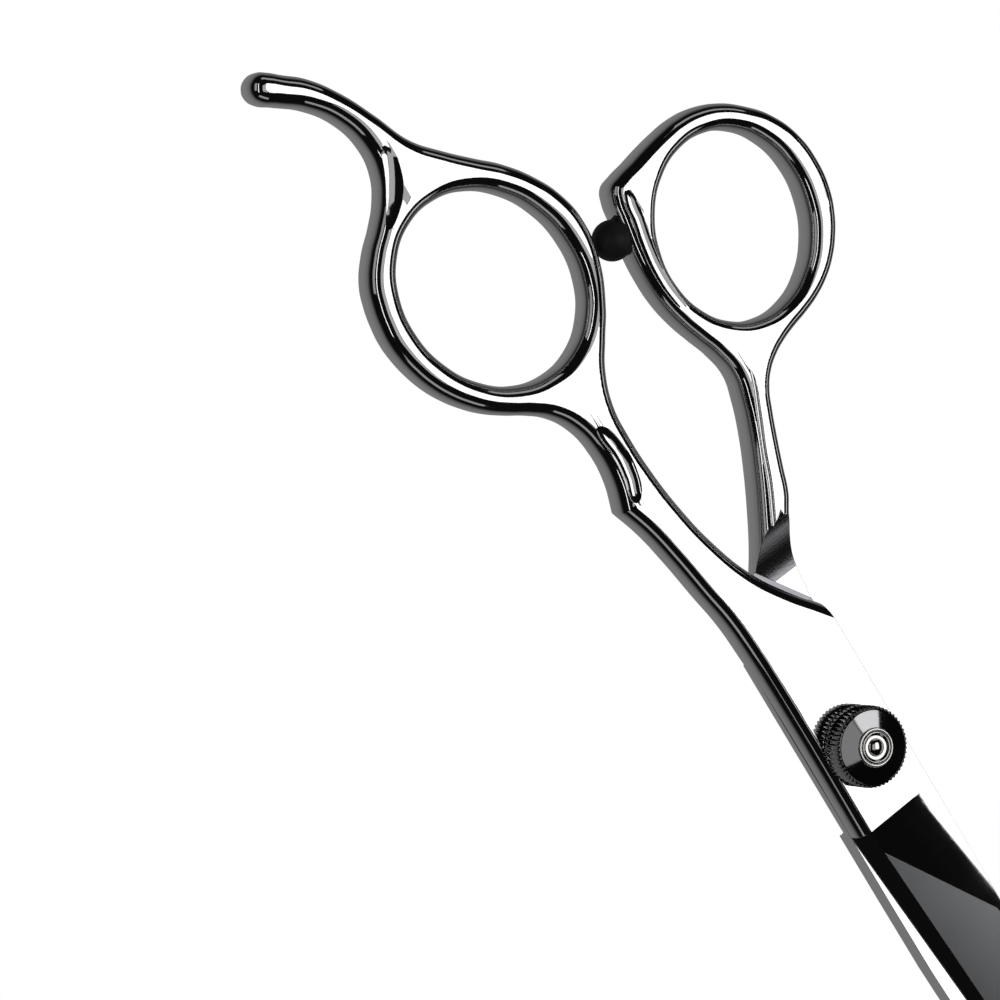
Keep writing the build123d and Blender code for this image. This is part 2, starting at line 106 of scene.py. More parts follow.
# ---- shared shader groups -----------------------------------------------------------
class Groups:
    """Shader node groups shared by the finishes."""

    @staticmethod
    def _new(name: str, inputs: list[tuple[str, str, float]],
             outputs: list[tuple[str, str]]) -> bpy.types.ShaderNodeTree:
        """Makes an empty group with named sockets.

        Args:
            name: name of the group.
            inputs: name, socket kind and default value of each input.
            outputs: name and socket kind of each output.

        Returns:
            The group's node tree.
        """
        tree = bpy.data.node_groups.new(name, "ShaderNodeTree")
        for label, kind, value in inputs:
            made = tree.interface.new_socket(label, in_out="INPUT", socket_type=kind)
            if kind == "NodeSocketFloat":
                made.default_value = value
        for label, kind in outputs:
            tree.interface.new_socket(label, in_out="OUTPUT", socket_type=kind)
        tree.nodes.new("NodeGroupInput").name = "in"
        tree.nodes.new("NodeGroupOutput").name = "out"
        return tree

    @classmethod
    def edge_wear(cls) -> bpy.types.ShaderNodeTree:
        """Softened normals along crisp edges, and a mask of the rubbed edges.

        Returns:
            Group with inputs Radius and Breakup, outputs Mask and Normal.
        """
        tree = cls._new("edge_wear",
                        [("Radius", "NodeSocketFloat", 0.0001), ("Breakup", "NodeSocketFloat", 900.0)],
                        [("Mask", "NodeSocketFloat"), ("Normal", "NodeSocketVector")])
        node, link = tree.nodes.new, tree.links.new
        source, sink = tree.nodes["in"], tree.nodes["out"]
        bevel = node("ShaderNodeBevel")
        bevel.samples = 6
        link(source.outputs["Radius"], bevel.inputs["Radius"])
        shape = node("ShaderNodeNewGeometry")
        dot = node("ShaderNodeVectorMath")
        dot.operation = "DOT_PRODUCT"
        link(bevel.outputs["Normal"], dot.inputs[0])
        link(shape.outputs["Normal"], dot.inputs[1])
        turn = node("ShaderNodeMapRange")
        turn.inputs["From Min"].default_value = 0.995
        turn.inputs["From Max"].default_value = 0.86
        link(dot.outputs["Value"], turn.inputs["Value"])
        place = node("ShaderNodeTexCoord")
        noise = node("ShaderNodeTexNoise")
        noise.inputs["Detail"].default_value = 5.0
        link(place.outputs["Object"], noise.inputs["Vector"])
        link(source.outputs["Breakup"], noise.inputs["Scale"])
        broken = node("ShaderNodeMapRange")
        broken.inputs["From Min"].default_value = 0.42
        broken.inputs["From Max"].default_value = 0.62
        link(noise.outputs["Fac"], broken.inputs["Value"])
        both = node("ShaderNodeMath")
        both.operation = "MULTIPLY"
        link(turn.outputs["Result"], both.inputs[0])
        link(broken.outputs["Result"], both.inputs[1])
        link(both.outputs["Value"], sink.inputs["Mask"])
        link(bevel.outputs["Normal"], sink.inputs["Normal"])
        return tree

    @classmethod
    def grind_lines(cls) -> bpy.types.ShaderNodeTree:
        """Parallel grinding lines, as left by a wheel.

        Returns:
            Group with inputs Turn, Across and Along, output Height.
        """
        tree = cls._new("grind_lines",
                        [("Turn", "NodeSocketFloat", 0.0), ("Across", "NodeSocketFloat", 9000.0),
                         ("Along", "NodeSocketFloat", 120.0)],
                        [("Height", "NodeSocketFloat")])
        node, link = tree.nodes.new, tree.links.new
        source, sink = tree.nodes["in"], tree.nodes["out"]
        place = node("ShaderNodeTexCoord")
        turn = node("ShaderNodeVectorRotate")
        turn.rotation_type = "Z_AXIS"
        link(place.outputs["Object"], turn.inputs["Vector"])
        link(source.outputs["Turn"], turn.inputs["Angle"])
        scales = node("ShaderNodeCombineXYZ")
        link(source.outputs["Across"], scales.inputs["X"])
        link(source.outputs["Along"], scales.inputs["Y"])
        link(source.outputs["Along"], scales.inputs["Z"])
        stretch = node("ShaderNodeVectorMath")
        stretch.operation = "MULTIPLY"
        link(turn.outputs["Vector"], stretch.inputs[0])
        link(scales.outputs["Vector"], stretch.inputs[1])
        fine = node("ShaderNodeTexNoise")
        fine.inputs["Scale"].default_value = 1.0
        fine.inputs["Detail"].default_value = 4.0
        fine.inputs["Roughness"].default_value = 0.7
        link(stretch.outputs["Vector"], fine.inputs["Vector"])
        link(fine.outputs["Fac"], sink.inputs["Height"])
        return tree

    @classmethod
    def polish_marks(cls) -> bpy.types.ShaderNodeTree:
        """Fine grain, hairline scratches and faint smudges of a polished surface.

        Returns:
            Group with inputs Grain, Scratches and Smudges, outputs Height and Haze.
        """
        tree = cls._new("polish_marks",
                        [("Grain", "NodeSocketFloat", 1.0), ("Scratches", "NodeSocketFloat", 1.0),
                         ("Smudges", "NodeSocketFloat", 1.0)],
                        [("Height", "NodeSocketFloat"), ("Haze", "NodeSocketFloat")])
        node, link = tree.nodes.new, tree.links.new
        source, sink = tree.nodes["in"], tree.nodes["out"]
        place = node("ShaderNodeTexCoord")
        grain = node("ShaderNodeTexNoise")
        grain.inputs["Scale"].default_value = 5500.0
        grain.inputs["Detail"].default_value = 3.0
        link(place.outputs["Object"], grain.inputs["Vector"])
        total = node("ShaderNodeMath")
        total.operation = "MULTIPLY"
        link(grain.outputs["Fac"], total.inputs[0])
        link(source.outputs["Grain"], total.inputs[1])
        height = total.outputs["Value"]
        for angle, across in ((0.6, 5200.0), (-0.9, 4300.0)):
            turn = node("ShaderNodeVectorRotate")
            turn.rotation_type = "Z_AXIS"
            turn.inputs["Angle"].default_value = angle
            link(place.outputs["Object"], turn.inputs["Vector"])
            stretch = node("ShaderNodeVectorMath")
            stretch.operation = "MULTIPLY"
            stretch.inputs[1].default_value = (across, 90.0, 90.0)
            link(turn.outputs["Vector"], stretch.inputs[0])
            hair = node("ShaderNodeTexNoise")
            hair.inputs["Scale"].default_value = 1.0
            hair.inputs["Detail"].default_value = 2.0
            link(stretch.outputs["Vector"], hair.inputs["Vector"])
            sparse = node("ShaderNodeMapRange")
            sparse.inputs["From Min"].default_value = 0.68
            sparse.inputs["From Max"].default_value = 0.8
            link(hair.outputs["Fac"], sparse.inputs["Value"])
            deep = node("ShaderNodeMath")
            deep.operation = "MULTIPLY"
            link(sparse.outputs["Result"], deep.inputs[0])
            link(source.outputs["Scratches"], deep.inputs[1])
            add = node("ShaderNodeMath")
            add.operation = "SUBTRACT"
            link(height, add.inputs[0])
            link(deep.outputs["Value"], add.inputs[1])
            height = add.outputs["Value"]
        link(height, sink.inputs["Height"])
        cloud = node("ShaderNodeTexNoise")
        cloud.inputs["Scale"].default_value = 70.0
        cloud.inputs["Detail"].default_value = 6.0
        link(place.outputs["Object"], cloud.inputs["Vector"])
        haze = node("ShaderNodeMapRange")
        haze.inputs["From Min"].default_value = 0.45
        haze.inputs["From Max"].default_value = 0.75
        link(cloud.outputs["Fac"], haze.inputs["Value"])
        scaled = node("ShaderNodeMath")
        scaled.operation = "MULTIPLY"
        link(haze.outputs["Result"], scaled.inputs[0])
        link(source.outputs["Smudges"], scaled.inputs[1])
        link(scaled.outputs["Value"], sink.inputs["Haze"])
        return tree


# ---- finishes -----------------------------------------------------------------------
@dataclass(frozen=True)
class Finish:
    """One surface finish."""

    name: str
    color: tuple[float, float, float]
    worn: tuple[float, float, float]
    metallic: float = 1.0
    roughness: float = 0.05
    haze: float = 0.04
    grain: float = 1.0
    scratches: float = 1.0
    relief: float = 0.6          # bump height in micrometres
    edge: float = 0.08           # softened edge, in millimetres
    grind: float = 0.0           # depth of the grinding lines against the grain
    grind_turn: float = 0.0      # their direction, in degrees
    grind_pitch: float = 9000.0

    def material(self) -> bpy.types.Material:
        """Builds the material.

        Returns:
            A node material with its Principled shader at the end.
        """
        mat = bpy.data.materials.new(self.name)
        mat.use_nodes = True
        tree = mat.node_tree
        node, link = tree.nodes.new, tree.links.new
        shader = tree.nodes["Principled BSDF"]
        wear = node("ShaderNodeGroup")
        wear.node_tree = bpy.data.node_groups["edge_wear"]
        wear.inputs["Radius"].default_value = self.edge * MM
        marks = node("ShaderNodeGroup")
        marks.node_tree = bpy.data.node_groups["polish_marks"]
        marks.inputs["Grain"].default_value = self.grain
        marks.inputs["Scratches"].default_value = self.scratches
        tint = node("ShaderNodeMix")
        tint.data_type = "RGBA"
        tint.inputs["A"].default_value = (*self.color, 1.0)
        tint.inputs["B"].default_value = (*self.worn, 1.0)
        link(wear.outputs["Mask"], tint.inputs["Factor"])
        link(tint.outputs["Result"], shader.inputs["Base Color"])
        rough = node("ShaderNodeMath")
        rough.operation = "MULTIPLY_ADD"
        rough.inputs[1].default_value = self.haze
        rough.inputs[2].default_value = self.roughness
        link(marks.outputs["Haze"], rough.inputs[0])
        link(rough.outputs["Value"], shader.inputs["Roughness"])
        height = marks.outputs["Height"]
        if self.grind:
            lines = node("ShaderNodeGroup")
            lines.node_tree = bpy.data.node_groups["grind_lines"]
            lines.inputs["Turn"].default_value = math.radians(self.grind_turn)
            lines.inputs["Across"].default_value = self.grind_pitch
            both = node("ShaderNodeMath")
            both.operation = "MULTIPLY_ADD"
            both.inputs[1].default_value = self.grind
            link(lines.outputs["Height"], both.inputs[0])
            link(height, both.inputs[2])
            height = both.outputs["Value"]
        bump = node("ShaderNodeBump")
        bump.inputs["Distance"].default_value = self.relief * 1e-6
        link(height, bump.inputs["Height"])
        link(wear.outputs["Normal"], bump.inputs["Normal"])
        link(bump.outputs["Normal"], shader.inputs["Normal"])
        shader.inputs["Metallic"].default_value = self.metallic
        return mat


MIRROR = Finish("mirror_steel", (0.83, 0.83, 0.84), (0.9, 0.9, 0.9), relief=0.9)
HOLLOW = Finish("hollow_ground_steel", (0.62, 0.62, 0.64), (0.9, 0.9, 0.9), roughness=0.06,
                grind=0.6, grind_turn=-35.0)
GROUND = Finish("wheel_ground_steel", (0.62, 0.63, 0.65), (0.85, 0.85, 0.86), roughness=0.42, haze=0.08,
                relief=2.2, grind=9.0, grind_turn=-35.0, grind_pitch=4200.0)
# Milled relief: its grinding lines, roughness and rubbed edges are real; its dark base colour is painted
# shade of the recessed step.
RELIEF_PAINTED_SHADE = Finish("milled_relief_steel_painted_shade", (0.30, 0.30, 0.32), (0.8, 0.8, 0.8), roughness=0.18, haze=0.06,
                relief=2.0, grind=4.0, grind_turn=20.0, grind_pitch=5200.0)
SCREW = Finish("turned_steel", (0.72, 0.71, 0.69), (0.9, 0.88, 0.85), roughness=0.09, relief=0.6, edge=0.05)
CHROME = Finish("black_chrome", (0.42, 0.42, 0.43), (0.75, 0.75, 0.75), roughness=0.07, relief=0.4,
                edge=0.05)
SPRING = Finish("spring_steel", (0.45, 0.44, 0.43), (0.7, 0.7, 0.7), roughness=0.2, edge=0.03)
BRONZE = Finish("bearing_bronze", (0.62, 0.38, 0.16), (0.8, 0.56, 0.3), roughness=0.25, edge=0.04)
PLASTIC = Finish("slip_plastic", (0.75, 0.74, 0.7), (0.85, 0.84, 0.8), metallic=0.0, roughness=0.4,
                 haze=0.1, edge=0.04)
RUBBER = Finish("black_rubber", (0.012, 0.012, 0.013), (0.02, 0.02, 0.02), metallic=0.0, roughness=0.55,
                haze=0.15, relief=9.0, scratches=0.3, edge=0.05)


# ---- making shapes ------------------------------------------------------------------
def link_mesh(name: str, bm: bmesh.types.BMesh, finishes: list[bpy.types.Material],
              sharp: float = 32.0) -> bpy.types.Object:
    """Turns a bmesh in metres into a shown object.

    Args:
        name: name of the piece.
        bm: its shape, freed here.
        finishes: materials, in the order of the faces' material numbers.
        sharp: angle in degrees above which an edge stays crisp.

    Returns:
        The new object.
    """
    bmesh.ops.recalc_face_normals(bm, faces=bm.faces)
    for face in bm.faces:
        face.smooth = True
    mesh = bpy.data.meshes.new(name)
    bm.to_mesh(mesh)
    bm.free()
    mesh.set_sharp_from_angle(angle=math.radians(sharp))
    for mat in finishes:
        mesh.materials.append(mat)
    obj = bpy.data.objects.new(name, mesh)
    bpy.context.collection.objects.link(obj)
    return obj


def weigh_normals(obj: bpy.types.Object) -> None:
    """Makes flat faces shade flat beside rounded edges.

    Args:
        obj: the piece.
    """
    mod = obj.modifiers.new("face_normals", "WEIGHTED_NORMAL")
    mod.keep_sharp = True
    mod.weight = 100


def lathe(profile: list[Point], steps: int = 128, ring: bool = False) -> bmesh.types.BMesh:
    """Turns a profile about the pivot axis.

    Args:
        profile: radius and height of each corner, from the axis round to the axis.
        steps: divisions of the full turn.
        ring: True for a profile that closes on itself, off the axis.

    Returns:
        A closed bmesh in metres.
    """
    bm = bmesh.new()
    verts = [bm.verts.new((r * MM, 0.0, z * MM)) for r, z in profile]
    ends = verts[1:] + verts[:1] if ring else verts[1:]
    edges = [bm.edges.new(pair) for pair in zip(verts, ends)]
    bmesh.ops.spin(bm, geom=verts + edges, cent=(0, 0, 0), axis=(0, 0, 1), angle=math.tau,
                   steps=steps, use_merge=True)
    bmesh.ops.remove_doubles(bm, verts=bm.verts, dist=WELD)
    return bm


def plug(radius: float, low: float, high: float) -> bmesh.types.BMesh:
    """A cylinder on the pivot axis, for cutting round holes and seats.

    Args:
        radius: its radius.
        low: height of its underside.
        high: height of its top.

    Returns:
        A closed bmesh in metres.
    """
    return lathe([(0, low), (radius, low), (radius, high), (0, high)], 96)


def rounded(points: list[Point], radii: dict[int, float], parts: int = 6) -> list[Point]:
    """Rounds chosen corners of a profile.

    Args:
        points: corners of the profile.
        radii: rounding of each chosen corner, by its number.
        parts: divisions of each rounding.

    Returns:
        The profile with its roundings.
    """
    out: list[Point] = []
    for i, point in enumerate(points):
        if i not in radii:
            out.append(point)
            continue
        here = Vector(point)
        start = here + (Vector(points[i - 1]) - here).normalized() * radii[i]
        end = here + (Vector(points[i + 1]) - here).normalized() * radii[i]
        for k in range(parts + 1):
            t = k / parts
            at = start * (1 - t) ** 2 + here * 2 * t * (1 - t) + end * t ** 2
            out.append((at.x, at.y))
    return out


def from_curve(data: bpy.types.Curve, weld: float) -> bmesh.types.BMesh:
    """Turns a curve into a mesh.

    Args:
        data: the curve, removed here.
        weld: distance in metres within which vertices are joined.

    Returns:
        Its shape in metres.
    """
    obj = bpy.data.objects.new("curve", data)
    bpy.context.collection.objects.link(obj)
    mesh = bpy.data.meshes.new_from_object(obj.evaluated_get(bpy.context.evaluated_depsgraph_get()))
    bm = bmesh.new()
    bm.from_mesh(mesh)
    bpy.data.objects.remove(obj)
    bpy.data.meshes.remove(mesh)
    bpy.data.curves.remove(data)
    bmesh.ops.remove_doubles(bm, verts=bm.verts, dist=weld)
    return bm


@dataclass
class PlanBar:
    """A flat bar with rounded edges, drawn by its plan."""

    outline: list[Point]
    corners: set[int]
    holes: list[tuple[Point, Point, float]]
    base: float
    thickness: float
    rounding: float
    depth: float
    fineness: int = 14

    def mesh(self) -> bmesh.types.BMesh:
        """Builds the bar from a bevelled plane curve.

        Returns:
            A closed bmesh in metres.
        """
        data = bpy.data.curves.new("plan", "CURVE")
        data.dimensions = "2D"
        data.fill_mode = "BOTH"
        data.resolution_u = self.fineness
        tall = self.depth / self.rounding
        data.extrude = (self.thickness / 2 - self.depth) / tall * MM
        data.bevel_depth = self.rounding * MM
        data.bevel_resolution = 8
        data.offset = -self.rounding * MM
        self._spline(data, self.outline, self.corners)
        for centre, half, turn in self.holes:
            spin = Matrix.Rotation(math.radians(turn), 2)
            ring = [Vector(centre) + spin @ Vector((half[0] * math.cos(a), half[1] * math.sin(a)))
                    for a in (math.tau * k / 16 for k in range(16))]
            self._spline(data, [(p.x, p.y) for p in ring], set())
        bm = from_curve(data, 2e-6)
        bmesh.ops.scale(bm, verts=bm.verts, vec=(1, 1, tall))
        bmesh.ops.translate(bm, verts=bm.verts, vec=(0, 0, (self.base + self.thickness / 2) * MM))
        bmesh.ops.recalc_face_normals(bm, faces=bm.faces)
        return bm

    def _spline(self, data: bpy.types.Curve, points: list[Point], corners: set[int]) -> None:
        """Adds one closed smooth line to the plan.

        Args:
            data: the curve.
            points: points that the line passes through.
            corners: numbers of the points where it turns sharply.
        """
        line = data.splines.new("BEZIER")
        line.bezier_points.add(len(points) - 1)
        for i, (knot, (x, y)) in enumerate(zip(line.bezier_points, points)):
            knot.co = (x * MM, y * MM, 0)
            kind = "VECTOR" if i in corners else "AUTO"
            knot.handle_left_type = kind
            knot.handle_right_type = kind
        line.use_cyclic_u = True


def combine(bm: bmesh.types.BMesh, tools: list[bmesh.types.BMesh],
            operation: str = "DIFFERENCE") -> bmesh.types.BMesh:
    """Cuts or joins closed shapes.

    Args:
        bm: the starting shape, freed here.
        tools: shape of each tool, in order, freed here. Its faces keep their material numbers.
        operation: what every tool does.

    Returns:
        The finished bmesh.
    """
    def as_object(shape: bmesh.types.BMesh) -> bpy.types.Object:
        mesh = bpy.data.meshes.new("tool")
        bmesh.ops.recalc_face_normals(shape, faces=shape.faces)
        shape.to_mesh(mesh)
        shape.free()
        for _ in range(4):
            mesh.materials.append(None)
        made = bpy.data.objects.new("tool", mesh)
        bpy.context.collection.objects.link(made)
        return made

    work = as_object(bm)
    objects = [work]
    for shape in tools:
        tool = as_object(shape)
        mod = work.modifiers.new("cut", "BOOLEAN")
        mod.operation = operation
        mod.solver = "EXACT"
        mod.material_mode = "INDEX"
        mod.object = tool
        objects.append(tool)
    bpy.context.view_layer.update()
    mesh = bpy.data.meshes.new_from_object(work.evaluated_get(bpy.context.evaluated_depsgraph_get()))
    out = bmesh.new()
    out.from_mesh(mesh)
    LOG.info("cut shape: %d faces", len(out.faces))
    bpy.data.meshes.remove(mesh)
    for obj in objects:
        data = obj.data
        bpy.data.objects.remove(obj)
        bpy.data.meshes.remove(data)
    bmesh.ops.remove_doubles(out, verts=out.verts, dist=WELD)
    bmesh.ops.dissolve_degenerate(out, edges=out.edges, dist=2e-7)
    return out


def append(bm: bmesh.types.BMesh, other: bmesh.types.BMesh) -> None:
    """Adds a second closed shape that touches the first.

    Args:
        bm: the shape to add to.
        other: the shape added, freed here.
    """
    mesh = bpy.data.meshes.new("other")
    other.to_mesh(mesh)
    other.free()
    bm.from_mesh(mesh)
    bpy.data.meshes.remove(mesh)


def slab(corners: list[Point], low: float, high: float, number: int = 0) -> bmesh.types.BMesh:
    """A straight-sided block over a polygon.

    Args:
        corners: its plan.
        low: height of its underside.
        high: height of its top.
        number: material number of its faces.

    Returns:
        A closed bmesh in metres.
    """
    bm = bmesh.new()
    face = bm.faces.new([bm.verts.new((x * MM, y * MM, low * MM)) for x, y in corners])
    up = bmesh.ops.extrude_face_region(bm, geom=[face], use_keep_orig=True)
    top = [v for v in up["geom"] if isinstance(v, bmesh.types.BMVert)]
    bmesh.ops.translate(bm, verts=top, vec=(0, 0, (high - low) * MM))
    for part in bm.faces:
        part.material_index = number
    return bm


def slice_off(bm: bmesh.types.BMesh, at: Vector, normal: Vector, number: int) -> None:
    """Cuts off what lies on one side of a plane and closes the cut.

    Args:
        bm: the shape, in metres.
        at: a point of the plane, in millimetres.
        normal: direction of the side that goes.
        number: material number of the cut face.
    """
    bmesh.ops.bisect_plane(bm, geom=bm.verts[:] + bm.edges[:] + bm.faces[:], dist=1e-8,
                           plane_co=at * MM, plane_no=normal, clear_outer=True)
    made = bmesh.ops.holes_fill(bm, edges=[e for e in bm.edges if e.is_boundary])
    for face in made["faces"]:
        face.material_index = number


def keep_below(bm: bmesh.types.BMesh, a: tuple, b: tuple, c: tuple, number: int) -> None:
    """Grinds away what is above the plane through three points.

    Args:
        bm: the shape, in metres.
        a: first point of the plane, in millimetres.
        b: second point.
        c: third point.
        number: material number of the ground facet.
    """
    normal = (Vector(b) - Vector(a)).cross(Vector(c) - Vector(a)).normalized()
    if normal.z < 0:
        normal.negate()
    slice_off(bm, Vector(a), normal, number)


def tube(path: list[tuple[float, float, float]], radius: float) -> bmesh.types.BMesh:
    """A round bar along a smooth path.

    Args:
        path: points of its centreline.
        radius: its radius.

    Returns:
        A closed bmesh in metres.
    """
    data = bpy.data.curves.new("path", "CURVE")
    data.dimensions = "3D"
    data.resolution_u = 16
    data.bevel_depth = radius * MM
    data.bevel_resolution = 14
    data.use_fill_caps = True
    line = data.splines.new("BEZIER")
    line.bezier_points.add(len(path) - 1)
    for knot, at in zip(line.bezier_points, path):
        knot.co = Vector(at) * MM
        knot.handle_left_type = "AUTO"
        knot.handle_right_type = "AUTO"
    return from_curve(data, 1e-6)


# ---- pieces -------------------------------------------------------------------------
@dataclass
class GroundBlade:
    """The ground blade in front of the ride, as the finger half carries it."""

    tip_x: float = 77.0
    tip_r: float = 0.5
    flat_start: tuple[float, float, float] = (9.8, 3.0, FACE_Z)
    flat_end: tuple[float, float, float] = (28.1, 4.9, FACE_Z)
    edge_t: float = 1.1
    ridge_t: float = 2.8
    tip_t: float = 0.5
    honed_t: float = 0.12
    hone_rise: float = 0.7       # of the honed edge over its first millimetre
    overlap: float = 1.5         # cut off again where the blade meets the ride
    spine: tuple = ((20.0, 5.9), (30.0, 5.85), (37.0, 5.6), (46.0, 4.85), (55.0, 3.75), (63.0, 2.6),
                    (70.0, 1.55))

    def mesh(self, turned: bool = False) -> bmesh.types.BMesh:
        """Builds the blade.

        Args:
            turned: True for the thumb half's blade, turned over about the long axis.

        Returns:
            A closed bmesh. Its hollow ground facet has material number 1, its wheel ground one 2.
        """
        root = RIDE_END_X - self.overlap
        tip = self.tip_x - self.tip_r
        spine = [(root, RIDE_HALF), (RIDE_END_X, RIDE_HALF), *self.spine, (tip, self.tip_r)]
        edge = [(self.tip_x, 0.0), (tip, -self.tip_r), (RIDE_END_X, -RIDE_HALF), (root, -RIDE_HALF)]
        bm = slab(spine + edge, PARTING_Z + BLADE_GAP / 2, FACE_Z)
        start = (RIDE_END_X, -RIDE_HALF)
        heel = (*start, PARTING_Z + self.edge_t)
        honed = PARTING_Z + self.honed_t
        keep_below(bm, self.flat_start, self.flat_end, heel, 1)
        keep_below(bm, heel, (*self.flat_end[:2], PARTING_Z + self.ridge_t),
                   (tip, -self.tip_r, PARTING_Z + self.tip_t), 2)
        keep_below(bm, (*start, honed), (tip, -self.tip_r, honed),
                   (RIDE_END_X, 1 - RIDE_HALF, honed + self.hone_rise), 0)
        slice_off(bm, Vector((RIDE_END_X, 0, 0)), Vector((-1, 0, 0)), 0)
        if turned:
            bmesh.ops.rotate(bm, verts=bm.verts, cent=(0, 0, PARTING_Z * MM),
                             matrix=Matrix.Rotation(math.pi, 3, "X"))
        return bm


@dataclass
class FingerHalf:
    """Upper half with the finger ring, the finger rest and its blade."""

    rounding: float = 1.6
    depth: float = 2.1
    ring: Point = (-72.3, -9.9)
    hole: Point = (12.6, 10.75)
    ring_turn: float = 22.0
    dive: Point = (-27.5, 2.8)
    dive_dir: Point = (0.817, -0.576)
    dive_clear: float = 0.5
    knuckle: Point = (-41.0, -10.55)
    bore_r: float = 2.8
    seat_top: float = 3.86
    root_hollow: tuple = ((-97.4, -12.9, 12.2), (-93.8, -13.0, 9.7), (-90.4, -14.1, 9.0),
                          (-87.6, -16.2, 9.0), (-85.6, -18.9, 9.6), (-83.8, -21.4, 12.2))
    root_hollow_r: float = 3.0
    cove: tuple = ((-53.2, -8.9, 9.2), (-51.0, -7.9, 7.75), (-47.9, -7.3, 7.45), (-44.6, -7.5, 7.4),
                   (-42.2, -8.3, 7.6), (-40.4, -9.4, 8.8))
    cove_r: float = 1.4

    def outline(self) -> list[Point]:
        """Plan of the handle and ride, anticlockwise from the ride's far corner.

        Returns:
            Points of the outline.
        """
        return [
            (14.0, -RIDE_HALF), (14.0, 9.0), (-12.3, 9.6), (-14.9, 7.5), (-17.2, 5.7), (-20.9, 2.8),
            (-25.6, -0.1), (-31.6, -2.3), (-37.4, -3.6), (-42.9, -4.3), (-48.1, -4.5), (-52.2, -4.2),
            (-56.1, -2.8), (-59.4, -0.6), (-62.2, 1.4), (-67.4, 3.9), (-72.5, 4.7), (-76.6, 3.9),
            (-80.3, 2.0), (-83.6, -0.6), (-86.0, -3.2), (-88.9, -6.2), (-92.2, -9.1), (-96.8, -11.2),
            (-100.9, -13.3), (-104.7, -16.1), (-106.7, -18.5), (-107.82, -19.83), (-108.41, -20.85),
            (-108.29, -22.02), (-107.51, -22.89), (-106.36, -23.14), (-105.28, -22.67), (-103.9, -20.9),
            (-101.7, -18.1), (-98.2, -15.5), (-94.2, -14.4), (-91.0, -14.8), (-88.3, -16.3),
            (-86.2, -18.3), (-84.0, -20.8), (-81.2, -23.0), (-78.6, -24.0), (-76.2, -24.5),
            (-74.0, -24.7), (-71.6, -24.5), (-69.3, -24.0), (-67.0, -23.2), (-64.7, -22.0),
            (-62.5, -20.4), (-60.5, -18.5), (-58.8, -16.3), (-57.2, -13.9), (-55.4, -11.8),
            (-52.5, -10.0), (-48.9, -9.2), (-44.8, -9.4), self.knuckle, (-37.0, -9.2), (-32.4, -8.2),
            (-26.5, -7.2), (-22.0, -6.4), (-17.4, -6.05), (-12.0, -RIDE_HALF)]

    def build(self, finishes: list[bpy.types.Material]) -> bpy.types.Object:
        """Builds the half.

        Args:
            finishes: mirror, hollow ground, wheel ground and milled steel, the last darkened as painted
                shade.

        Returns:
            The shown piece.
        """
        outline = self.outline()
        sharp = {0, 1, outline.index(self.knuckle)}
        bar = PlanBar(outline, sharp, [(self.ring, self.hole, self.ring_turn)],
                      FINGER_BASE_Z, HANDLE_T, self.rounding, self.depth).mesh()
        along = Vector(self.dive_dir)
        side = Vector((along.y, -along.x))
        near = Vector(self.dive) + side * self.dive_clear
        far = near + along * 24
        start = near - along * 8
        under = slab([tuple(start), tuple(far), (CUT_REACH, far.y), (CUT_REACH, start.y + 20)],
                     0.0, PARTING_Z + BLADE_GAP / 2)
        bore = plug(self.bore_r, 2.0, 7.5)
        seat = plug(SEAT_R, 3.0, self.seat_top)
        slice_off(bar, Vector((RIDE_END_X, 0, 0)), Vector((1, 0, 0)), 0)
        slice_off(bar, Vector((0, RIDE_HALF, 0)), Vector((0, 1, 0)), 0)
        bm = combine(bar, [tube(self.root_hollow, self.root_hollow_r), tube(self.cove, self.cove_r),
                           under, bore, seat])
        append(bm, GroundBlade().mesh())
        obj = link_mesh("finger_half_polished", bm, finishes)
        weigh_normals(obj)
        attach(obj, Body.FINGER.value)
        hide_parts("finger_half")
        return obj


